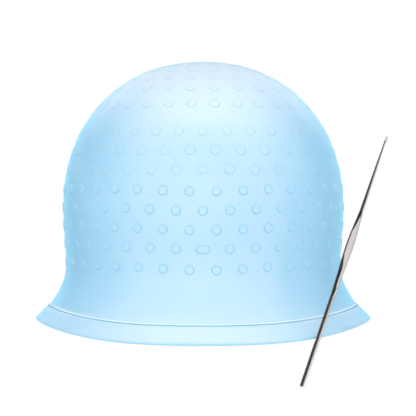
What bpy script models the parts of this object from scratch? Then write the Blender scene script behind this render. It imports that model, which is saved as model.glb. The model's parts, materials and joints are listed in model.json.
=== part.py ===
"""Highlighting cap: a one-piece silicone cap with raised strand markers, and its steel hook.

Metres, +Z up, front towards -Y. The origin is the middle of the head opening, level with
the lowest point of the brim.
"""

import math

import bmesh
import bpy
from mathutils import Matrix, Vector

# Cap: levels are heights above the origin, radii are of the outer surface.
CROWN_LEVEL = 0.1728
WIDEST_LEVEL = 0.0800
WIDEST_RADIUS = 0.0882
CROWN_POWER = 2.15  # 2 is an ellipse, more is boxier
NECK_LEVEL = 0.0440
NECK_RADIUS = 0.0870
STEP_LEVEL = 0.0196
STEP_RADIUS = 0.0973
FLARE_POWER = 1.9
EDGE_LEVEL = 0.0112
EDGE_RADIUS = 0.1063
DOME_WALL = 0.0012
BRIM_WALL = 0.0016
STEP_PROUD = 0.0004  # how far the brim band stands out past the skirt
TOUCH_GAP = 0.0003

# The brim is a gentle saddle: front and back hang lower than the two sides.
SADDLE_DROP = 0.0100
SADDLE_TOP = 0.0500
SADDLE_AT_STEP = 0.82
SADDLE_POWER = 3
SADDLE_EASE = 1.3

# Markers: raised discs where a strand is drawn through.
MARKER_RADIUS = 0.0030
MARKER_PROUD = 0.0006
MARKER_ROOT = 0.0008
MARKER_TAPER = 0.88
MARKER_SIDES = 5
MARKERS_ROUND = 34
FIRST_ROW = 0.0463
ROW_PITCH = 0.0116
SIDE_ROWS = 8
FIRST_CROWN_RADIUS = 0.0670
CROWN_RING_PITCH = 0.0104
CROWN_RINGS = 6
CROWN_SPACING = 0.0144
TIP_RADIUS = 0.0090  # half-way from the middle marker to the last ring
FRONT_MARK_ROW = 1
FRONT_MARK_STRETCH = 1.75

# Hook: a steel rod 2.9 mm thick, pressed flat for the thumb and drawn out to a small hook.
HOOK_FOOT = Vector((0.0589, -0.0840, -0.0263))
HOOK_LEAN = math.radians(18.72)
HOOK_LENGTH = 0.1589
ROD = 0.0029
FLAT = 0.0014
# Each section is its distance from the foot, its width, its thickness and its shift towards the lip.
HOOK_SECTIONS = (
    (0.0000, 0.0023, 0.0023, 0),
    (0.0004, ROD, ROD, 0),
    (0.0580, ROD, ROD, 0),
    (0.0690, 0.0034, 0.0023, 0),
    (0.0790, 0.0043, FLAT, 0),
    (0.0840, 0.0047, FLAT, 0),
    (0.0886, 0.0048, FLAT, 0),
    (0.0930, 0.0047, FLAT, 0),
    (0.0985, 0.0042, FLAT, 0),
    (0.1050, 0.0031, 0.0016, 0),
    (0.1110, 0.0023, 0.0021, 0),
    (0.1350, 0.0017, 0.0017, 0),
    (0.1500, 0.0011, 0.0011, 0),
    (0.1549, 0.0010, 0.0010, 0),
    (0.1562, 0.0014, 0.0011, 0.0002),
    (0.1576, 0.0013, 0.0010, 0.0002),
    (0.1585, 0.0008, 0.0007, 0.0001),
    (HOOK_LENGTH, 0.0003, 0.0003, 0),
)
HOOK_SIDES = 16
THROAT_RADIUS = 0.0004
THROAT_LEVEL = 0.1551
THROAT_REACH = 0.0007

# The dome has one facet for each marker of a row, turned so that every marker lies within one.
DOME_STEPS = MARKERS_ROUND
DOME_TURN = math.tau / MARKERS_ROUND / 4
BRIM_STEPS = 68
FLARE_POINTS = 4
BRIM_POINTS = 3


def clear_scene():
    for obj in list(bpy.data.objects):
        bpy.data.objects.remove(obj, do_unlink=True)


def new_collection(name):
    collection = bpy.data.collections.new(name)
    bpy.context.scene.collection.children.link(collection)
    return collection


def new_object(name, mesh, collection, material=None):
    obj = bpy.data.objects.new(name, mesh)
    collection.objects.link(obj)
    if material:
        mesh.materials.append(material)
    return obj


def principled(name, colour, roughness, metallic=0.0):
    material = bpy.data.materials.new(name)
    material.use_nodes = True
    shader = material.node_tree.nodes["Principled BSDF"]
    shader.inputs["Base Color"].default_value = (*colour, 1)
    shader.inputs["Roughness"].default_value = roughness
    shader.inputs["Metallic"].default_value = metallic
    return material


def crown_radius(level):
    """Outer radius above the widest level, a superellipse that closes at the crown."""
    rise = (level - WIDEST_LEVEL) / (CROWN_LEVEL - WIDEST_LEVEL)
    return WIDEST_RADIUS * max(0.0, 1 - rise**CROWN_POWER) ** (1 / CROWN_POWER)


def crown_level(radius):
    """The inverse of crown_radius."""
    share = max(0.0, 1 - (radius / WIDEST_RADIUS) ** CROWN_POWER)
    return WIDEST_LEVEL + (CROWN_LEVEL - WIDEST_LEVEL) * share ** (1 / CROWN_POWER)


def outer_radius(level):
    """Outer radius of the dome and skirt at a level."""
    if level >= WIDEST_LEVEL:
        return crown_radius(level)
    if level >= NECK_LEVEL:
        share = (level - NECK_LEVEL) / (WIDEST_LEVEL - NECK_LEVEL)
        ease = 0.5 - 0.5 * math.cos(math.pi * share)
        return NECK_RADIUS + (WIDEST_RADIUS - NECK_RADIUS) * ease
    share = (NECK_LEVEL - level) / (NECK_LEVEL - STEP_LEVEL)
    return NECK_RADIUS + (STEP_RADIUS - NECK_RADIUS) * share**FLARE_POWER


def dome_profile():
    """(radius, level) points from the crown down to the step, each midway between two marker rows."""
    radii = [FIRST_CROWN_RADIUS - CROWN_RING_PITCH * (ring - 0.5) for ring in range(1, CROWN_RINGS)]
    points = [(0.0, CROWN_LEVEL)]
    points += [(radius, crown_level(radius)) for radius in [TIP_RADIUS, *reversed(radii)]]
    levels = [FIRST_ROW + ROW_PITCH * (row - 0.5) for row in range(SIDE_ROWS + 1)]
    points += [(outer_radius(level), level) for level in reversed(levels)]
    below = levels[0] - STEP_LEVEL
    for i in range(1, FLARE_POINTS + 1):
        level = levels[0] - below * i / FLARE_POINTS
        points.append((outer_radius(level), level))
    return points


def brim_profile():
    """(radius, level) points of the brim band, from just past the step down to its edge."""
    slope = Vector((EDGE_RADIUS - STEP_RADIUS, EDGE_LEVEL - STEP_LEVEL)).normalized()
    proud = Vector((-slope.y, slope.x)) * STEP_PROUD
    start = Vector((STEP_RADIUS, STEP_LEVEL)) + slope * TOUCH_GAP + proud
    edge = Vector((EDGE_RADIUS, EDGE_LEVEL))
    return [tuple(start.lerp(edge, i / BRIM_POINTS)) for i in range(BRIM_POINTS + 1)]


def saddle_share(level):
    """How much of the saddle's drop reaches a level: all of it at the edge, none above SADDLE_TOP."""
    if level >= SADDLE_TOP:
        return 0.0
    if level <= STEP_LEVEL:
        below = (STEP_LEVEL - level) / (STEP_LEVEL - EDGE_LEVEL)
        return SADDLE_AT_STEP + (1 - SADDLE_AT_STEP) * below
    rise = (SADDLE_TOP - level) / (SADDLE_TOP - STEP_LEVEL)
    return SADDLE_AT_STEP * rise**SADDLE_EASE


def saddled(point):
    """A point of the round cap moved to where the saddle leaves it."""
    across = abs(point.x) / math.hypot(point.x, point.y) if point.xy.length > 0 else 1
    drop = SADDLE_DROP * saddle_share(point.z) * (1 - across**SADDLE_POWER)
    return Vector((point.x, point.y, point.z - drop))


def turned_shell(name, profile, steps, turn, wall, collection, material):
    """A profile turned about Z, bent to the saddle and given its wall thickness inwards."""
    mesh = bpy.data.meshes.new(name + "_profile")
    edges = [(i, i + 1) for i in range(len(profile) - 1)]
    start = [(r * math.cos(turn), r * math.sin(turn), z) for r, z in profile]
    mesh.from_pydata(start, edges, [])
    guide = new_object(name + "_profile", mesh, collection)
    screw = guide.modifiers.new("Screw", "SCREW")
    screw.steps = steps
    screw.render_steps = steps
    screw.use_merge_vertices = True
    screw.merge_threshold = 0.00001
    bpy.context.view_layer.update()
    graph = bpy.context.evaluated_depsgraph_get()
    turned = bpy.data.meshes.new_from_object(guide.evaluated_get(graph))
    bpy.data.objects.remove(guide, do_unlink=True)
    for vertex in turned.vertices:
        vertex.co = saddled(vertex.co)
    shell = new_object(name, turned, collection, material)
    solidify = shell.modifiers.new("Wall", "SOLIDIFY")
    solidify.thickness = wall
    solidify.offset = -1
    solidify.use_even_offset = True
    return shell


def surface_frame(level, azimuth):
    """Matrix of a point on the dome: Z is the outward normal, X runs round the dome."""
    radius = outer_radius(level)
    reach = 0.0005
    slope = (outer_radius(level + reach) - outer_radius(level - reach)) / (2 * reach)
    out = Vector((math.sin(azimuth), -math.cos(azimuth), 0))
    normal = Vector((out.x, out.y, -slope)).normalized()
    around = Vector((-out.y, out.x, 0))
    up = normal.cross(around)
    place = Matrix((around, up, normal)).transposed().to_4x4()
    place.translation = saddled(out * radius + Vector((0, 0, level)))
    return place


def marker_places():
    """(matrix, stretch) of every marker, the staggered side rows first and then the crown rings."""
    for row in range(SIDE_ROWS):
        level = FIRST_ROW + ROW_PITCH * row
        stagger = 0.5 if row % 2 == 0 else 0.0
        for i in range(MARKERS_ROUND):
            azimuth = math.tau * (i + stagger) / MARKERS_ROUND
            at_front = row == FRONT_MARK_ROW and i == 0
            yield surface_frame(level, azimuth), FRONT_MARK_STRETCH if at_front else 1.0
    for ring in range(CROWN_RINGS):
        radius = FIRST_CROWN_RADIUS - CROWN_RING_PITCH * ring
        count = 2 * round(math.pi * radius / CROWN_SPACING)
        for i in range(count):
            yield surface_frame(crown_level(radius), math.tau * (i + 0.5) / count), 1.0
    yield Matrix.Translation((0, 0, CROWN_LEVEL)), 1.0


def marker_discs(collection):
    """All the marker discs as closed pieces of one helper mesh."""
    bm = bmesh.new()
    height = MARKER_PROUD + MARKER_ROOT
    for place, stretch in marker_places():
        middle = Matrix.Translation((0, 0, (MARKER_PROUD - MARKER_ROOT) / 2))
        bmesh.ops.create_cone(
            bm,
            cap_ends=True,
            segments=MARKER_SIDES,
            radius1=MARKER_RADIUS,
            radius2=MARKER_RADIUS * MARKER_TAPER,
            depth=height,
            matrix=place @ middle @ Matrix.Diagonal((stretch, 1, 1, 1)),
        )
    mesh = bpy.data.meshes.new("marker_discs")
    bm.to_mesh(mesh)
    bm.free()
    discs = new_object("marker_discs", mesh, collection)
    discs.hide_render = True
    discs.display_type = "WIRE"
    return discs


def shade_round(obj, angle=math.radians(35)):
    obj.data.shade_smooth()
    obj.data.set_sharp_from_angle(angle=angle)


def add_boolean(obj, other, operation):
    boolean = obj.modifiers.new(operation.title(), "BOOLEAN")
    boolean.object = other
    boolean.operation = operation


def cap_dome(parts, helpers, material):
    profile = dome_profile()
    dome = turned_shell("cap_dome", profile, DOME_STEPS, DOME_TURN, DOME_WALL, parts, material)
    add_boolean(dome, marker_discs(helpers), "UNION")
    shade_round(dome)


def cap_brim(parts, material):
    brim = turned_shell("cap_brim", brim_profile(), BRIM_STEPS, 0, BRIM_WALL, parts, material)
    shade_round(brim)


def hook_ring(bm, section):
    """One cross-section of the hook: an ellipse cut flat on its two broad sides."""
    along, width, thickness, shift = section
    bulge = max(thickness, min(width, 2 * thickness))
    ring = []
    for i in range(HOOK_SIDES):
        angle = math.tau * i / HOOK_SIDES
        y = bulge / 2 * math.sin(angle)
        y = max(-thickness / 2, min(thickness / 2, y))
        ring.append(bm.verts.new((shift + width / 2 * math.cos(angle), y, along)))
    return ring


def hook_throat(collection, place):
    """The round notch under the hook's lip."""
    bm = bmesh.new()
    bmesh.ops.create_cone(
        bm,
        cap_ends=True,
        segments=10,
        radius1=THROAT_RADIUS,
        radius2=THROAT_RADIUS,
        depth=ROD,
        matrix=Matrix.Translation((THROAT_REACH, 0, THROAT_LEVEL))
        @ Matrix.Rotation(math.radians(90), 4, "X"),
    )
    mesh = bpy.data.meshes.new("hook_throat")
    bm.to_mesh(mesh)
    bm.free()
    throat = new_object("hook_throat", mesh, collection)
    throat.matrix_world = place
    throat.hide_render = True
    throat.display_type = "WIRE"
    return throat


def hook(parts, helpers, material):
    """The hook as a loft along its own Z, then leant over in front of the brim."""
    bm = bmesh.new()
    rings = [hook_ring(bm, section) for section in HOOK_SECTIONS]
    for lower, upper in zip(rings, rings[1:]):
        for i in range(HOOK_SIDES):
            j = (i + 1) % HOOK_SIDES
            bm.faces.new((lower[i], lower[j], upper[j], upper[i]))
    bm.faces.new(reversed(rings[0]))
    bm.faces.new(rings[-1])
    mesh = bpy.data.meshes.new("hook")
    bm.to_mesh(mesh)
    bm.free()
    place = Matrix.Translation(HOOK_FOOT) @ Matrix.Rotation(HOOK_LEAN, 4, "Y")
    rod = new_object("hook", mesh, parts, material)
    rod.matrix_world = place
    add_boolean(rod, hook_throat(helpers, place), "DIFFERENCE")
    shade_round(rod)


def main():
    clear_scene()
    parts = new_collection("highlighting_cap")
    helpers = new_collection("cutters")
    silicone = principled("blue_silicone", (0.42, 0.74, 0.92), 0.35)
    steel = principled("polished_steel", (0.62, 0.60, 0.58), 0.18, 1.0)
    cap_dome(parts, helpers, silicone)
    cap_brim(parts, silicone.copy())
    hook(parts, helpers, steel)


main()
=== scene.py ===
import json
import math

import bmesh
import bpy
from mathutils import Matrix, Vector


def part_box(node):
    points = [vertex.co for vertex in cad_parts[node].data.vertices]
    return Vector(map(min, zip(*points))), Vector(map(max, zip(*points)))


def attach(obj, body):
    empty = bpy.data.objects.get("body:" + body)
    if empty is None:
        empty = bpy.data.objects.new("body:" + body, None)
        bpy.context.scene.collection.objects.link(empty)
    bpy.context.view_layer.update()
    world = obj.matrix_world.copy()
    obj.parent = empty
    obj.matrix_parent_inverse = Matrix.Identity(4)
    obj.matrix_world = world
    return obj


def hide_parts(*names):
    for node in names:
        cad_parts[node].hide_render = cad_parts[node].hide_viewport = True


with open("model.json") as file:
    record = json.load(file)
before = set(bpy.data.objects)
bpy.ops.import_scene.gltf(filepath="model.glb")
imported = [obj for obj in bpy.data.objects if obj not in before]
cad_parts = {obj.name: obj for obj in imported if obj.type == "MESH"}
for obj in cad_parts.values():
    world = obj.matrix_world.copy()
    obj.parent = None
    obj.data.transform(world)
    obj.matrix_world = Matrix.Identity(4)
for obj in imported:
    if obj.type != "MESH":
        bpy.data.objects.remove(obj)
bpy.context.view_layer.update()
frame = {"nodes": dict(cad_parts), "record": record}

domeLow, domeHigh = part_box("cap_dome")
brimLow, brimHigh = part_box("cap_brim")
hookLow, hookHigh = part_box("hook")
drawJoint = frame["record"]["behaviour"]["joints"][0]
print("frame loaded:", len(frame["nodes"]), "nodes")

scene = bpy.context.scene


# camera: a long lens nearly level with the middle of the dome

camera = {
    "distance": 1.5,
    "aside": 0.0030,
    "height": 0.0918,
    "aimHeight": 0.0804,
    "lens": 204.4,
    "sensor": 36,
    "clip": 60,
}


def buildCamera(c):
    eye = bpy.data.objects.new("camera", bpy.data.cameras.new("camera"))
    scene.collection.objects.link(eye)
    eye.data.lens = c["lens"]
    eye.data.sensor_width = c["sensor"]
    eye.data.clip_end = c["clip"]
    eye.location = (c["aside"], -c["distance"], c["height"])
    aim = Vector((c["aside"], 0, c["aimHeight"])) - eye.location
    eye.rotation_euler = aim.to_track_quat("-Z", "Y").to_euler()
    scene.camera = eye
    print("camera ready")


buildCamera(camera)


# shader nodes: a wire is a socket that can be added, multiplied and so on

class Wire:
    def __init__(self, tree, socket=None):
        self.tree = tree
        self.socket = socket

    def node(self, kind, settings=None, sockets=None, out=0):
        made = self.tree.nodes.new(kind)
        for name, value in (settings or {}).items():
            setattr(made, name, value)
        for name, value in (sockets or {}).items():
            if isinstance(value, Wire):
                self.tree.links.new(value.socket, made.inputs[name])
            else:
                made.inputs[name].default_value = value
        return Wire(self.tree, made.outputs[out] if made.outputs else None)

    def maths(self, operation, first, second=0.0):
        return self.node("ShaderNodeMath", {"operation": operation}, {0: first, 1: second})

    def __add__(self, other):
        return self.maths("ADD", self, other)

    def __radd__(self, other):
        return self.maths("ADD", other, self)

    def __sub__(self, other):
        return self.maths("SUBTRACT", self, other)

    def __rsub__(self, other):
        return self.maths("SUBTRACT", other, self)

    def __mul__(self, other):
        return self.maths("MULTIPLY", self, other)

    def __rmul__(self, other):
        return self.maths("MULTIPLY", other, self)

    def noise(self, scale, detail, stretch=(1, 1, 1)):
        places = self.node("ShaderNodeTexCoord", out="Object")
        places = self.node("ShaderNodeMapping", {}, {"Vector": places, "Scale": stretch})
        return self.node("ShaderNodeTexNoise", {}, {"Vector": places, "Scale": scale, "Detail": detail})

    def between(self, value, low, high, fromLow=0.0, fromHigh=1.0):
        return self.node(
            "ShaderNodeMapRange",
            {},
            {"Value": value, "From Min": fromLow, "From Max": fromHigh, "To Min": low, "To Max": high},
        )

    def blend(self, factor, first, second):
        return self.node(
            "ShaderNodeMix",
            {"data_type": "RGBA", "clamp_factor": True},
            {"Factor": factor, 6: first, 7: second},
            out=2,
        )

    def bump(self, height, strength, distance, under=None):
        sockets = {"Height": height, "Strength": strength, "Distance": distance}
        if under:
            sockets["Normal"] = under
        return self.node("ShaderNodeBump", {}, sockets)


def newMaterial(name):
    material = bpy.data.materials.new(name)
    material.use_nodes = True
    material.node_tree.nodes.clear()
    return material, Wire(material.node_tree)


def finishMaterial(wire, fixed, varied):
    shader = wire.node("ShaderNodeBsdfPrincipled", {}, {**fixed, **varied})
    wire.node("ShaderNodeOutputMaterial", {}, {"Surface": shader})


# cap: one silicone moulding, its dome, skirt and brim in one skin

cap = {
    "widestLevel": 0.0800,
    "widestRadius": 0.0888,
    "crownPower": 2.15,
    "neckLevel": 0.0440,
    "neckRadius": 0.0870,
    "stepLevel": 0.0196,
    "stepRadius": 0.0973,
    "flarePower": 1.9,
    "edgeLevel": 0.0112,
    "wall": 0.0012,
    "poleReach": 0.0005,
    "brimWall": 0.0016,
    "stepProud": 0.0004,
    "saddleDrop": 0.0105,
    "saddleTop": 0.0500,
    "saddleAtStep": 0.78,
    "saddlePower": 3,
    "saddleEase": 1.3,
    "beadWidth": 0.0017,
    "beadProud": 0.0004,
    "beadPower": 4,
    # where the painted highlight along the bead starts
    "beadHighlightFrom": 0.6,
    "beadPoints": 8,
    "grooveWidth": 0.0008,
    "grooveDeep": 0.0004,
    "bandProud": 0.00016,
    "bandLead": 0.3,
    # painted shade on the band's upper edge and on the hem
    "bandShade": 0.3,
    "hemShade": 0.4,
    "hemPoints": 6,
    "crownPoints": 40,
    "sidePoints": 22,
    "flarePoints": 14,
    "brimPoints": 10,
    "turns": 192,
}
# share of the groove's width, share of its depth and the painted shade in it
grooveSections = ((0.20, 0.6, 1.4), (0.50, 1.0, 1.6), (0.80, 0.7, 1.4))
marker = {
    "radius": 0.0030,
    "proud": 0.00048,
    "round": 34,
    "firstRow": 0.0463,
    "rowPitch": 0.0116,
    "sideRows": 8,
    "firstCrownRadius": 0.0670,
    "crownRingPitch": 0.0104,
    "crownRings": 6,
    "crownSpacing": 0.0144,
    "frontRow": 1,
    "frontSpread": 0.0015,
    "spreadSharpness": 4,
    "frontScale": (0.95, 0.91, 1, 1),
    "dippedRows": 5,
    "frontDip": 0.0017,
    "dipReach": 0.65,
    "clearRows": 5,
    "crownHeight": 0.17,
    "sides": 16,
    "middle": 0.70,
    "unevenness": 0.03,
    "seed": 7,
}
# (share of the radius, share of the height, painted shade on the outline) from the foot to the middle
markerProfile = (
    (1.06, -0.30, 0.5),
    (0.98, 0.35, 0.95),
    (0.87, 0.80, 0.95),
    (0.74, 0.72, 0.45),
    (0.56, 0.70, 0.0),
)
cap["crownLevel"] = domeHigh.z - marker["proud"]
cap["edgeRadius"] = brimHigh.x


def crownRadius(c, level):
    rise = (level - c["widestLevel"]) / (c["crownLevel"] - c["widestLevel"])
    return c["widestRadius"] * max(0.0, 1 - rise ** c["crownPower"]) ** (1 / c["crownPower"])


def crownLevel(c, radius):
    share = max(0.0, 1 - (radius / c["widestRadius"]) ** c["crownPower"])
    return c["widestLevel"] + (c["crownLevel"] - c["widestLevel"]) * share ** (1 / c["crownPower"])


def outerRadius(c, level):
    if level >= c["widestLevel"]:
        return crownRadius(c, level)
    if level >= c["neckLevel"]:
        share = (level - c["neckLevel"]) / (c["widestLevel"] - c["neckLevel"])
        ease = 0.5 - 0.5 * math.cos(math.pi * share)
        return c["neckRadius"] + (c["widestRadius"] - c["neckRadius"]) * ease
    share = (c["neckLevel"] - level) / (c["neckLevel"] - c["stepLevel"])
    return c["neckRadius"] + (c["stepRadius"] - c["neckRadius"]) * share ** c["flarePower"]


def saddled(c, point):
    # front and back hang lower than the two sides
    if point.z >= c["saddleTop"]:
        return point
    if point.z <= c["stepLevel"]:
        below = (c["stepLevel"] - point.z) / (c["stepLevel"] - c["edgeLevel"])
        share = c["saddleAtStep"] + (1 - c["saddleAtStep"]) * below
    else:
        rise = (c["saddleTop"] - point.z) / (c["saddleTop"] - c["stepLevel"])
        share = c["saddleAtStep"] * rise ** c["saddleEase"]
    across = abs(point.x) / math.hypot(point.x, point.y)
    drop = c["saddleDrop"] * share * (1 - across ** c["saddlePower"])
    return Vector((point.x, point.y, point.z - drop))


def skirtProfile(c):
    # (radius, level) down the outer side, from the crown to the step
    points = []
    power = 2 / c["crownPower"]
    height = c["crownLevel"] - c["widestLevel"]
    for i in range(1, c["crownPoints"] + 1):
        angle = math.pi / 2 * (1 - i / c["crownPoints"])
        radius = c["widestRadius"] * math.cos(angle) ** power
        points.append(Vector((radius, c["widestLevel"] + height * math.sin(angle) ** power)))
    for i in range(1, c["sidePoints"] + 1):
        level = c["widestLevel"] + (c["neckLevel"] - c["widestLevel"]) * i / c["sidePoints"]
        points.append(Vector((outerRadius(c, level), level)))
    for i in range(1, c["flarePoints"] + 1):
        level = c["neckLevel"] + (c["stepLevel"] - c["neckLevel"]) * i / c["flarePoints"]
        points.append(Vector((outerRadius(c, level), level)))
    return points


def hemProfile(c):
    # bead, groove, brim band and rounded hem; each point's painted shade is 1 in a crease, -1 where the
    # bead gets a painted highlight
    slope = Vector((c["edgeRadius"] - c["stepRadius"], c["edgeLevel"] - c["stepLevel"])).normalized()
    out = Vector((-slope.y, slope.x))
    step = Vector((c["stepRadius"], c["stepLevel"]))
    points = []
    for i in range(1, c["beadPoints"] + 1):  # a fine bead, rising gently and falling into the groove
        share = i / c["beadPoints"]
        height = c["beadProud"] * math.sin(math.pi / 2 * share) ** c["beadPower"]
        # the bead's crest gets a painted highlight
        pale = max(0, share - c["beadHighlightFrom"]) / (1 - c["beadHighlightFrom"])
        points.append((step + slope * c["beadWidth"] * (share - 1) + out * height, -pale))
    for share, depth, dark in grooveSections:
        points.append((step + slope * c["grooveWidth"] * share - out * c["grooveDeep"] * depth, dark))
    first = step + slope * c["grooveWidth"]  # the band's upper edge
    points.append((first + out * c["bandProud"], c["bandShade"]))
    first += out * c["stepProud"]
    half = c["brimWall"] / 2
    last = Vector((c["edgeRadius"], c["edgeLevel"])) - slope * half
    for i in range(c["brimPoints"] + 1):
        share = (i + c["bandLead"]) / (c["brimPoints"] + c["bandLead"])
        points.append((first.lerp(last, share), 0.0))
    for i in range(1, c["hemPoints"]):  # the hem's half round
        angle = math.pi * i / c["hemPoints"]
        turned = out * half * (math.cos(angle) - 1) + slope * half * math.sin(angle)
        points.append((last + turned, c["hemShade"]))
    for i in range(c["brimPoints"] + 1):  # back up the inner side of the band
        points.append((last.lerp(step, i / c["brimPoints"]) - out * c["brimWall"], 0.0))
    return points


def sideways(points, i):
    # the outward normal of a profile at one of its points
    along = points[min(i + 1, len(points) - 1)] - points[max(i - 1, 0)]
    return Vector((-along.y, along.x)).normalized()


def capProfile(c):
    skirt = skirtProfile(c)
    inner = [skirt[i] - sideways(skirt, i) * c["wall"] for i in range(len(skirt) - 3)]
    inner = [(point, 0.0) for point in reversed(inner) if point.x > c["poleReach"]]
    return [(point, 0.0) for point in skirt[:-2]] + hemProfile(c) + inner


def turnedSkin(c, profile):
    # the closed profile turned about Z, with a pole vertex at each end
    bm = bmesh.new()
    rim = bm.verts.layers.float.new("rim")
    rings = []
    for (radius, level), dark in profile:
        ring = []
        for i in range(c["turns"]):
            azimuth = math.tau * i / c["turns"]
            place = Vector((radius * math.cos(azimuth), radius * math.sin(azimuth), level))
            vertex = bm.verts.new(saddled(c, place))
            # the rim attribute carries painted shade in creases (above 0) and a painted highlight on the
            # bead (below 0)
            vertex[rim] = dark
            ring.append(vertex)
        rings.append(ring)
    for upper, lower in zip(rings, rings[1:]):
        for i in range(c["turns"]):
            j = (i + 1) % c["turns"]
            bm.faces.new((upper[i], lower[i], lower[j], upper[j]))
    outerPole = bm.verts.new((0, 0, c["crownLevel"]))
    innerPole = bm.verts.new((0, 0, c["crownLevel"] - c["wall"]))
    for i in range(c["turns"]):
        j = (i + 1) % c["turns"]
        bm.faces.new((outerPole, rings[0][i], rings[0][j]))
        bm.faces.new((innerPole, rings[-1][j], rings[-1][i]))
    mesh = bpy.data.meshes.new("cap_skin")
    bm.to_mesh(mesh)
    bm.free()
    mesh.shade_smooth()
    return mesh


siliconeLook = {
    "clear": (0.286, 0.590, 0.800, 1),
    "deep": (0.274, 0.576, 0.786, 1),
    "cloudScale": 14,
    "cloudRange": (0.35, 0.65),
    # painted shade colour for the groove, the hem and the strand markers' outlines
    "creaseShade": (0.14, 0.46, 0.52, 1),
    "creaseShare": 0.33,
    # painted highlight colour along the bead
    "bead": (0.80, 0.93, 0.96, 1),
    "beadHighlightShare": 0.9,
    "grainScale": 2600,
    "grainStrength": 0.12,
    "grainDepth": 0.0002,
    "rippleScale": 60,
    "rippleStretch": (1, 1, 14),
    "rippleStrength": 0.10,
    "rippleDepth": 0.0006,
    "satin": (0.36, 0.48),
    "satinScale": 40,
    "satinRange": (0.3, 0.7),
    "creaseRoughness": 0.6,
    "fixed": {
        "Subsurface Weight": 0.3,
        "Subsurface Radius": (0.5, 0.8, 1.0),
        "Subsurface Scale": 0.0003,
        "IOR": 1.75,
        "Sheen Weight": 0.6,
        "Sheen Roughness": 0.25,
        "Sheen Tint": (0.3, 0.85, 1, 1),
    },
}


def siliconeMaterial(look):
    material, wire = newMaterial("blue_silicone")
    clouds = wire.noise(look["cloudScale"], 2)
    colour = wire.blend(wire.between(clouds, 0, 1, *look["cloudRange"]), look["clear"], look["deep"])
    rim = wire.node("ShaderNodeAttribute", {"attribute_name": "rim"}, out="Fac")
    # painted shade where rim is above 0: in the groove, on the hem and round the markers
    creaseShade = rim.maths("MAXIMUM", rim, 0)
    colour = wire.blend(rim * creaseShade * look["creaseShare"], colour, look["creaseShade"])
    # painted highlight on the bead where rim is below 0
    colour = wire.blend(rim * -look["beadHighlightShare"], colour, look["bead"])
    normal = wire.bump(wire.noise(look["grainScale"], 2), look["grainStrength"], look["grainDepth"])
    ripple = wire.noise(look["rippleScale"], 2, look["rippleStretch"])
    normal = wire.bump(ripple, look["rippleStrength"], look["rippleDepth"], under=normal)
    satin = wire.between(wire.noise(look["satinScale"], 3), *look["satin"], *look["satinRange"])
    roughness = satin + creaseShade * look["creaseRoughness"]
    finishMaterial(wire, look["fixed"], {"Base Color": colour, "Roughness": roughness, "Normal": normal})
    return material


silicone = siliconeMaterial(siliconeLook)
skinMesh = turnedSkin(cap, capProfile(cap))
skinMesh.materials.append(silicone)
skin = bpy.data.objects.new("cap_skin", skinMesh)
scene.collection.objects.link(skin)
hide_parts("cap_dome", "cap_brim")
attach(skin, "cap")
print("cap skin ready:", len(skinMesh.polygons), "faces")


# strand markers: a raised ring with a thin domed membrane, one for each strand

def surfaceFrame(c, level, azimuth):
    radius = outerRadius(c, level)
    reach = 0.0005  # the slope is taken over this much above and below
    slope = (outerRadius(c, level + reach) - outerRadius(c, level - reach)) / (2 * reach)
    out = Vector((math.sin(azimuth), -math.cos(azimuth), 0))
    normal = Vector((out.x, out.y, -slope)).normalized()
    around = Vector((-out.y, out.x, 0))
    up = normal.cross(around)
    turn = Matrix((around, up, normal)).transposed().to_quaternion()
    return saddled(c, out * radius + Vector((0, 0, level))), turn


def markerLevel(m, row, azimuth):
    # the lower rows dip a little towards the middle of the front
    level = m["firstRow"] + m["rowPitch"] * row
    aside = min(1, abs(math.remainder(azimuth, math.tau)) / m["dipReach"])
    if row < m["dippedRows"]:
        level -= m["frontDip"] * math.cos(math.pi / 2 * aside) ** 2
    return level


def markerPlaces(c, m):
    # (point, turn, height): staggered rows round the side, then rings over the crown, ever flatter
    crown = m["crownHeight"]
    for row in range(m["sideRows"]):
        stagger = 0.5 if row % 2 == 0 else 0.0
        for i in range(m["round"]):
            azimuth = math.tau * (i + stagger) / m["round"]
            if row != m["frontRow"] or i != 0:  # the wide front mark stands there
                point, turn = surfaceFrame(c, markerLevel(m, row, azimuth), azimuth)
                yield point, turn, 1 if row < m["clearRows"] else crown
    for ring in range(m["crownRings"]):
        radius = m["firstCrownRadius"] - m["crownRingPitch"] * ring
        count = 2 * round(math.pi * radius / m["crownSpacing"])
        for i in range(count):
            yield *surfaceFrame(c, crownLevel(c, radius), math.tau * (i + 0.5) / count), crown
    yield Vector((0, 0, c["crownLevel"])), Matrix.Identity(3).to_quaternion(), crown


def markerPoints(c, m):
    places = list(markerPlaces(c, m))
    mesh = bpy.data.meshes.new("marker_points")
    mesh.from_pydata([point for point, _, _ in places], [], [])
    turns = mesh.attributes.new("turn", "QUATERNION", "POINT")
    for i, (_, turn, _) in enumerate(places):
        turns.data[i].value = turn
    heights = mesh.attributes.new("height", "FLOAT", "POINT")
    for i, (_, _, height) in enumerate(places):
        heights.data[i].value = height
    points = bpy.data.objects.new("strand_markers", mesh)
    scene.collection.objects.link(points)
    return points


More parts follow.
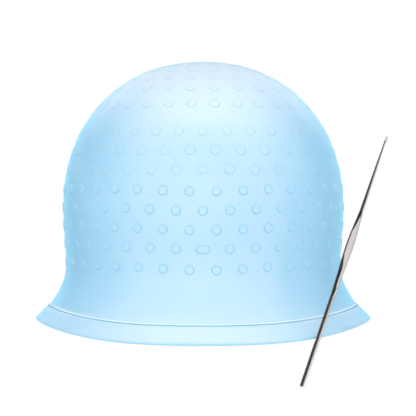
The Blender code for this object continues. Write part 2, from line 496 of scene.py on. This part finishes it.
def markerShape(m, name, spread=0.0):
    # a low disc with a rounded rim; the spread pulls its two halves apart into a wide mark
    bm = bmesh.new()
    rim = bm.verts.layers.float.new("rim")
    rings = []
    for share, height, outlineShade in markerProfile:
        ring = []
        for i in range(m["sides"]):
            across = math.cos(math.tau * i / m["sides"])
            side = max(-1, min(1, m["spreadSharpness"] * across))
            x = share * m["radius"] * across + spread * side
            y = share * m["radius"] * math.sin(math.tau * i / m["sides"])
            vertex = bm.verts.new((x, y, height * m["proud"]))
            # painted shade round the ring's outline
            vertex[rim] = outlineShade
            ring.append(vertex)
        rings.append(ring)
    for outer, inner in zip(rings, rings[1:]):
        for i in range(m["sides"]):
            j = (i + 1) % m["sides"]
            bm.faces.new((outer[i], outer[j], inner[j], inner[i]))
    middle = bm.verts.new((0, 0, m["middle"] * m["proud"]))
    for i in range(m["sides"]):
        bm.faces.new((rings[-1][i], rings[-1][(i + 1) % m["sides"]], middle))
    bm.faces.new(list(reversed(rings[0])))
    mesh = bpy.data.meshes.new(name)
    bm.to_mesh(mesh)
    bm.free()
    mesh.shade_smooth()
    shape = bpy.data.objects.new(name, mesh)
    scene.collection.objects.link(shape)
    return shape


def markerTree():
    tree = bpy.data.node_groups.new("marker_rows", "GeometryNodeTree")
    face = tree.interface
    face.new_socket("Geometry", in_out="INPUT", socket_type="NodeSocketGeometry")
    face.new_socket("Shape", in_out="INPUT", socket_type="NodeSocketObject")
    face.new_socket("Unevenness", in_out="INPUT", socket_type="NodeSocketFloat")
    face.new_socket("Seed", in_out="INPUT", socket_type="NodeSocketInt")
    face.new_socket("Material", in_out="INPUT", socket_type="NodeSocketMaterial")
    face.new_socket("Geometry", in_out="OUTPUT", socket_type="NodeSocketGeometry")
    wire = Wire(tree)
    given = tree.nodes.new("NodeGroupInput")
    socket = {s.name: Wire(tree, s) for s in given.outputs if s.name}
    shape = wire.node("GeometryNodeObjectInfo", {}, {"Object": socket["Shape"]}, out="Geometry")
    turn = wire.node("GeometryNodeInputNamedAttribute", {"data_type": "QUATERNION"}, {"Name": "turn"})
    height = wire.node("GeometryNodeInputNamedAttribute", {"data_type": "FLOAT"}, {"Name": "height"})
    rim = wire.node("GeometryNodeInputNamedAttribute", {"data_type": "FLOAT"}, {"Name": "rim"})
    uneven = socket["Unevenness"]
    share = wire.node(
        "FunctionNodeRandomValue",
        {"data_type": "FLOAT"},
        {2: 1 - uneven, 3: uneven + 1, "Seed": socket["Seed"]},
        out=1,
    )
    size = wire.node("ShaderNodeCombineXYZ", {}, {"X": share, "Y": share, "Z": height * share})
    rows = wire.node(
        "GeometryNodeInstanceOnPoints",
        {},
        {"Points": socket["Geometry"], "Instance": shape, "Rotation": turn, "Scale": size},
    )
    solid = wire.node("GeometryNodeRealizeInstances", {}, {"Geometry": rows})
    # the outlines' painted shade, fainter on the flatter crown markers
    fadedShade = wire.node(
        "GeometryNodeStoreNamedAttribute",
        {"data_type": "FLOAT", "domain": "POINT"},
        {"Geometry": solid, "Name": "rim", "Value": rim * height},
    )
    done = wire.node(
        "GeometryNodeSetMaterial", {}, {"Geometry": fadedShade, "Material": socket["Material"]}
    )
    wire.node("NodeGroupOutput", {}, {"Geometry": done})
    return tree


def plainMesh(obj, name):
    # the modifiers' result as the object's own mesh
    bpy.context.view_layer.update()
    graph = bpy.context.evaluated_depsgraph_get()
    mesh = bpy.data.meshes.new_from_object(obj.evaluated_get(graph))
    mesh.name = name
    obj.modifiers.clear()
    obj.data = mesh


def buildMarkers(c, m, material):
    points = markerPoints(c, m)
    shape = markerShape(m, "marker_shape")
    rows = points.modifiers.new("Rows", "NODES")
    rows.node_group = markerTree()
    socket = {s.name: s.identifier for s in rows.node_group.interface.items_tree if s.in_out == "INPUT"}
    rows[socket["Shape"]] = shape
    rows[socket["Unevenness"]] = m["unevenness"]
    rows[socket["Seed"]] = m["seed"]
    rows[socket["Material"]] = material
    plainMesh(points, "strand_markers")
    bpy.data.objects.remove(shape, do_unlink=True)
    front = markerShape(m, "front_mark", m["frontSpread"])
    point, turn = surfaceFrame(c, markerLevel(m, m["frontRow"], 0), 0)
    smaller = Matrix.Diagonal(m["frontScale"])
    front.data.transform(Matrix.Translation(point) @ turn.to_matrix().to_4x4() @ smaller)
    front.data.materials.append(material)
    for piece in (points, front):
        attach(piece, "cap")
    print("strand markers ready:", len(points.data.polygons), "faces")


buildMarkers(cap, marker, silicone)


# hook: a steel rod pressed flat for the thumb and drawn out to a small hook

hook = {
    "rod": 0.0029,
    "flat": 0.0014,
    "length": 0.1589,
    "sides": 48,
    "bevel": 1.4,
    "ringGap": 0.0012,
    "fineGap": 0.00012,
    "fineFrom": 0.1535,
    "throatRadius": 0.0004,
    "throatLevel": 0.1551,
    "throatReach": 0.0007,
    "restFrom": 0.062,
    "restTo": 0.109,
    "restFade": 0.003,
    "restEdge": 0.65,
    "edgeSharpness": 6,
    "wedgeBelow": 0.084,
    "wedgeFrom": 0.098,
    "wedge": 0.014,
    "wedgeDeep": 1.2,
    "headFrom": 0.1557,
    "sharpFrom": 40,
}
# distance from the foot, width, thickness and shift towards the lip
hookSections = (
    (0.0000, 0.0022, 0.0022, 0),
    (0.0004, 0.0029, 0.0029, 0),
    (0.0300, 0.0029, 0.0029, 0),
    (0.0580, 0.0029, 0.0029, 0),
    (0.0690, 0.0034, 0.0023, 0),
    (0.0790, 0.0043, 0.0014, 0),
    (0.0840, 0.0047, 0.0014, 0),
    (0.0886, 0.0048, 0.0014, 0),
    (0.0930, 0.0047, 0.0014, 0),
    (0.0985, 0.0042, 0.0014, 0),
    (0.1050, 0.0031, 0.0016, 0),
    (0.1110, 0.0023, 0.0021, 0),
    (0.1350, 0.0017, 0.0017, 0),
    (0.1500, 0.0011, 0.0011, 0),
    (0.1549, 0.0010, 0.0010, 0),
    (0.1560, 0.0017, 0.0011, 0.0003),
    (0.1575, 0.0018, 0.0010, 0.0002),
    (0.1585, 0.0011, 0.0007, 0.0001),
    (0.1589, 0.0003, 0.0003, 0),
)


def sectionAt(along):
    # width, thickness and shift at a distance from the foot, in even steps between the listed sections
    for lower, upper in zip(hookSections, hookSections[1:]):
        if along <= upper[0]:
            share = (along - lower[0]) / (upper[0] - lower[0])
            return [a + (b - a) * share for a, b in zip(lower[1:], upper[1:])]
    return list(hookSections[-1][1:])


def hookLevels(h):
    levels = [0.0, 0.0002, 0.0004]  # the foot's small round
    while levels[-1] < h["fineFrom"]:
        levels.append(levels[-1] + h["ringGap"])
    while levels[-1] + h["fineGap"] < h["length"]:
        levels.append(levels[-1] + h["fineGap"])
    return levels + [h["length"]]


def hookRing(bm, h, along, place, matteAndHeadHighlight):
    width, thickness, shift = sectionAt(along)
    bulge = max(thickness, min(width, h["bevel"] * thickness))
    limit = width
    above = along - h["throatLevel"]
    if abs(above) < h["throatRadius"]:  # the round throat under the lip
        limit = h["throatReach"] - math.sqrt(h["throatRadius"] ** 2 - above**2)
    restShare = min(1, max(0, min(along - h["restFrom"], h["restTo"] - along) / h["restFade"]))
    # the polished left edge widens in a wedge at both ends of the matte rest
    past = max(along - h["wedgeFrom"], h["wedgeBelow"] - along)
    leftEdge = h["restEdge"] - h["wedgeDeep"] * min(1, max(0, past) / h["wedge"])
    ring = []
    for i in range(h["sides"]):
        angle = math.tau * i / h["sides"]
        x = min(shift + width / 2 * math.cos(angle), limit)
        y = max(-thickness / 2, min(thickness / 2, bulge / 2 * math.sin(angle)))
        vertex = bm.verts.new(place @ Vector((x, y, along)))
        inside = (h["restEdge"] if x > 0 else leftEdge) - abs(x) / (width / 2)
        flatShare = min(1, max(0, 0.5 + h["edgeSharpness"] * inside))
        # the head gets the light matte colour as a painted highlight
        vertex[matteAndHeadHighlight] = max(restShare * flatShare, 1.0 if along > h["headFrom"] else 0.0)
        ring.append(vertex)
    return ring


steelLook = {
    "polished": (0.62, 0.60, 0.58, 1),
    # matte colour: the thumb rest's satin finish, and a painted highlight on the head
    "matteAndHeadHighlight": (0.76, 0.70, 0.69, 1),
    "matteShare": 0.88,
    "matteRoughness": 0.3,
    "drawnScale": 1800,
    "drawnStretch": (1, 1, 0.08),
    "drawnStrength": 0.15,
    "drawnDepth": 0.00005,
    "roughness": (0.12, 0.20),
    "patchScale": 900,
    "patchRange": (0.35, 0.65),
    "patches": (0.9, 1.0),
}


def steelMaterial(look):
    material, wire = newMaterial("polished_steel")
    matteAndHeadHighlight = wire.node("ShaderNodeAttribute", {"attribute_name": "matteAndHeadHighlight"}, out="Fac")
    drawn = wire.noise(look["drawnScale"], 3, look["drawnStretch"])  # fine lines along the rod
    patches = wire.between(wire.noise(look["patchScale"], 2), *look["patches"], *look["patchRange"])
    roughness = wire.between(drawn, *look["roughness"]) + matteAndHeadHighlight * look["matteRoughness"]
    varied = {
        "Base Color": wire.blend(matteAndHeadHighlight, look["polished"], look["matteAndHeadHighlight"]),
        "Metallic": 1 - matteAndHeadHighlight * patches * look["matteShare"],
        "Roughness": roughness,
        "Normal": wire.bump(drawn, look["drawnStrength"], look["drawnDepth"]),
    }
    finishMaterial(wire, {}, varied)
    return material


def buildHook(h):
    draw = Vector(drawJoint["axis"]).normalized()
    lean = math.atan2(draw.x, draw.z)
    tip = Vector((hookHigh.x, (hookLow.y + hookHigh.y) / 2, hookHigh.z))
    place = Matrix.Translation(tip - draw * h["length"]) @ Matrix.Rotation(lean, 4, "Y")
    bm = bmesh.new()
    matteAndHeadHighlight = bm.verts.layers.float.new("matteAndHeadHighlight")
    rings = [hookRing(bm, h, along, place, matteAndHeadHighlight) for along in hookLevels(h)]
    for lower, upper in zip(rings, rings[1:]):
        for i in range(h["sides"]):
            j = (i + 1) % h["sides"]
            bm.faces.new((lower[i], lower[j], upper[j], upper[i]))
    bm.faces.new(list(reversed(rings[0])))
    bm.faces.new(rings[-1])
    mesh = bpy.data.meshes.new("pull_hook")
    bm.to_mesh(mesh)
    bm.free()
    mesh.shade_smooth()
    mesh.set_sharp_from_angle(angle=math.radians(h["sharpFrom"]))
    mesh.materials.append(steelMaterial(steelLook))
    rod = bpy.data.objects.new("pull_hook", mesh)
    scene.collection.objects.link(rod)
    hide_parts("hook")
    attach(rod, "hook")
    print("hook ready:", len(mesh.polygons), "faces")
    return place


hookPlace = buildHook(hook)


# studio: a white room, a low pale floor, soft panels and one dark card

studio = {
    "roomGlow": 1.0,
    "floorLevel": -1.2,
    "floorRadius": 3.2,
    "floorSides": 96,
    "floorTones": ((0.93, 0.93, 0.93, 1), (0.95, 0.95, 0.95, 1)),
    "floorLook": {"Roughness": 0.9, "Emission Strength": 0.12, "Emission Color": (1, 1, 1, 1)},
    "cardRadius": 0.006,
    "cardFrom": -150,
    "cardTo": -20,
    "cardSides": 13,
    "cardEnds": (-0.01, 0.34),
    "cardTones": ((0.14, 0.14, 0.14, 1), (0.17, 0.17, 0.17, 1)),
    # name, place, aim, size and glow; a panel that stands aside has a twin on the other side
    "sheenColour": (1, 0.5, 0.3),
    "sheenPanels": (
        ("front_panel", (0, -2, 0.6), (0, 0, 0.6), (2.0, 2.4), 3.0),
        ("quarter_panel", (1.49, -1.34, 0.6), (0, 0, 0.6), (1.5, 2.4), 2.7),
        ("side_panel", (1.99, -0.17, 0.6), (0, 0, 0.6), (1.2, 2.4), 0.9),
        ("top_panel", (0, -0.7, 1.9), (0, -0.7, 0), (2.1, 1.4), 5.6),
        ("crown_panel", (0, 0.45, 1.9), (0, 0.45, 0), (2.1, 0.9), 4.2),
        ("shoulder_panel", (1.6, -0.3, 1.9), (1.6, -0.3, 0), (1.1, 2.2), 2.8),
        ("back_panel", (0, 1.9, 1.9), (0, 0.4, 0), (4.0, 2.0), 2.1),
    ),
    "rimColour": (0.3, 0.65, 1),
    "rimPanels": (("rim_panel", (0.85, 1.8, 0.4), (0, 0, 0.4), (1.1, 2.0), 1.6),),
    "fillColour": (1, 1, 1),
    "fillPanels": (
        ("front_fill", (0, -2, 0.3), (0, 0, 0.1), (1.5, 1.5), 2.0),
        ("top_fill", (0, -0.6, 2), (0, 0, 0.1), (1.5, 1.5), 1.0),
    ),
    "steelColour": (1, 0.99, 0.98),
    "steelPanels": (
        ("steel_front_panel", (0.62, -1.9, 0.2), (0, 0, 0.2), (0.5, 1.6), 0.8),
        ("steel_side_panel", (1.2, -0.65, 0.2), (0, -0.65, 0.2), (3.3, 1.6), 0.8),
        ("steel_back_panel", (0.4, 1.6, 0.4), (0.4, 0, 0.4), (2.0, 2.0), 0.45),
    ),
}


def softPanel(panel, colour, mirror, lit, fill=False):
    # glow is the panel's own brightness, whatever its size
    name, place, aim, size, glow = panel
    place = Vector((place[0] * mirror, place[1], place[2]))
    aim = Vector((aim[0] * mirror, aim[1], aim[2]))
    light = bpy.data.lights.new(name, "AREA")
    light.shape = "RECTANGLE"
    light.size, light.size_y = size
    light.energy = glow * math.pi * size[0] * size[1]
    light.color = colour
    lamp = bpy.data.objects.new(name, light)
    scene.collection.objects.link(lamp)
    lamp.location = place
    lamp.rotation_euler = (aim - place).to_track_quat("-Z", "Y").to_euler()
    lamp.visible_camera = False
    lamp.visible_diffuse = fill
    lamp.visible_glossy = not fill
    lamp.light_linking.receiver_collection = lit


def litGroup(name, *names):
    group = bpy.data.collections.new(name)
    for piece in names:
        group.objects.link(bpy.data.objects[piece])
    return group


def buildPanels(s):
    silicones = litGroup("lit_silicone", "cap_skin", "strand_markers", "front_mark")
    steels = litGroup("lit_steel", "pull_hook")
    for kind in ("sheen", "rim"):
        for panel in s[kind + "Panels"]:
            for mirror in (1, -1) if panel[1][0] > 0 else (1,):
                softPanel(panel, s[kind + "Colour"], mirror, silicones)
    for panel in s["fillPanels"]:
        softPanel(panel, s["fillColour"], 1, silicones, fill=True)
    for panel in s["steelPanels"]:
        softPanel(panel, s["steelColour"], 1, steels)


def buildFloor(s):
    bm = bmesh.new()
    bmesh.ops.create_circle(bm, cap_ends=True, segments=s["floorSides"], radius=s["floorRadius"])
    bmesh.ops.translate(bm, verts=bm.verts, vec=(0, 0, s["floorLevel"]))
    mesh = bpy.data.meshes.new("floor")
    bm.to_mesh(mesh)
    bm.free()
    floor = bpy.data.objects.new("floor", mesh)
    scene.collection.objects.link(floor)
    material, wire = newMaterial("pale_floor")
    tone = wire.blend(wire.noise(3, 2), *s["floorTones"])
    finishMaterial(wire, s["floorLook"], {"Base Color": tone})
    mesh.materials.append(material)


def buildCard(s, place):
    # a curved dark card along the hook's left, seen only in the steel
    bm = bmesh.new()
    columns = []
    for i in range(s["cardSides"] + 1):
        azimuth = math.radians(s["cardFrom"] + (s["cardTo"] - s["cardFrom"]) * i / s["cardSides"])
        x = s["cardRadius"] * math.sin(azimuth)
        y = -s["cardRadius"] * math.cos(azimuth)
        columns.append([bm.verts.new(place @ Vector((x, y, along))) for along in s["cardEnds"]])
    for one, two in zip(columns, columns[1:]):
        bm.faces.new((one[0], two[0], two[1], one[1]))
    mesh = bpy.data.meshes.new("dark_card")
    bm.to_mesh(mesh)
    bm.free()
    card = bpy.data.objects.new("dark_card", mesh)
    scene.collection.objects.link(card)
    material, wire = newMaterial("black_card")
    tone = wire.blend(wire.noise(20, 2), *s["cardTones"])
    finishMaterial(wire, {"Roughness": 0.8}, {"Base Color": tone})
    mesh.materials.append(material)
    card.visible_camera = card.visible_diffuse = card.visible_shadow = False
    card.visible_transmission = False


def buildStudio(s, place):
    world = bpy.data.worlds.new("white_room")
    scene.world = world
    world.use_nodes = True
    world.node_tree.nodes.clear()
    wire = Wire(world.node_tree)
    room = wire.node("ShaderNodeBackground", {}, {"Color": (1, 1, 1, 1), "Strength": s["roomGlow"]})
    wire.node("ShaderNodeOutputWorld", {}, {"Surface": room})
    world.cycles_visibility.glossy = False
    buildFloor(s)
    buildCard(s, place)
    buildPanels(s)
    scene.view_settings.view_transform = "Standard"
    print("studio ready")


buildStudio(studio, hookPlace)
